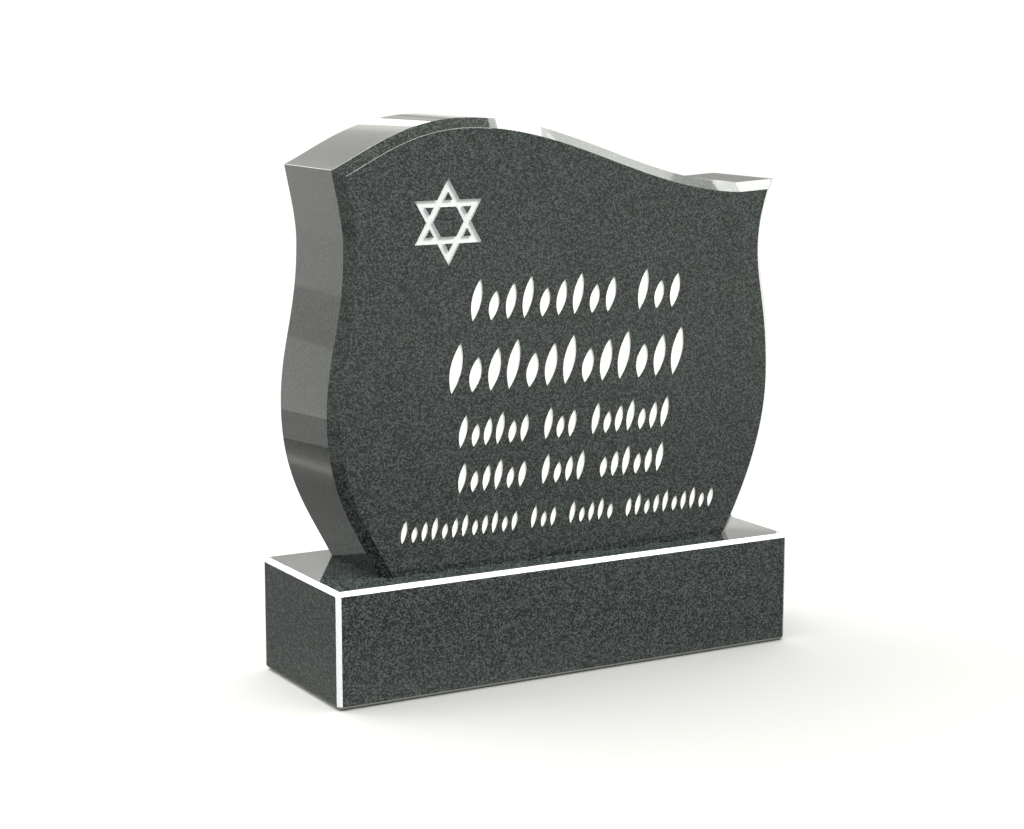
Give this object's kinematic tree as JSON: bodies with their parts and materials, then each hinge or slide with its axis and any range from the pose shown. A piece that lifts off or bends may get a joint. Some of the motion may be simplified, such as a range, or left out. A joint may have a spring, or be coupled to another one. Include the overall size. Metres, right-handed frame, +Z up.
{
  "type": "headstone",
  "caption": "Upright granite headstone with a serpentine top, a beveled face with a sunk star and rows of carved strokes, standing on a rectangular base with pale chamfered edges.",
  "frame": {"origin": "middle of the base's underside", "axes": "+Z up, X along the base's width with +X to the right as seen from the carved face, Y through the thickness with +Y to the back"},
  "size_m": [0.9144, 0.3048, 0.9712],
  "materials": {
    "polished_granite": "polished dark grey granite with a fine salt and pepper grain; chamfers and carving frosted white"
  },
  "bodies": {
    "root": {"base": "polished_granite", "tablet": "polished_granite"}
  },
  "joints": []
}
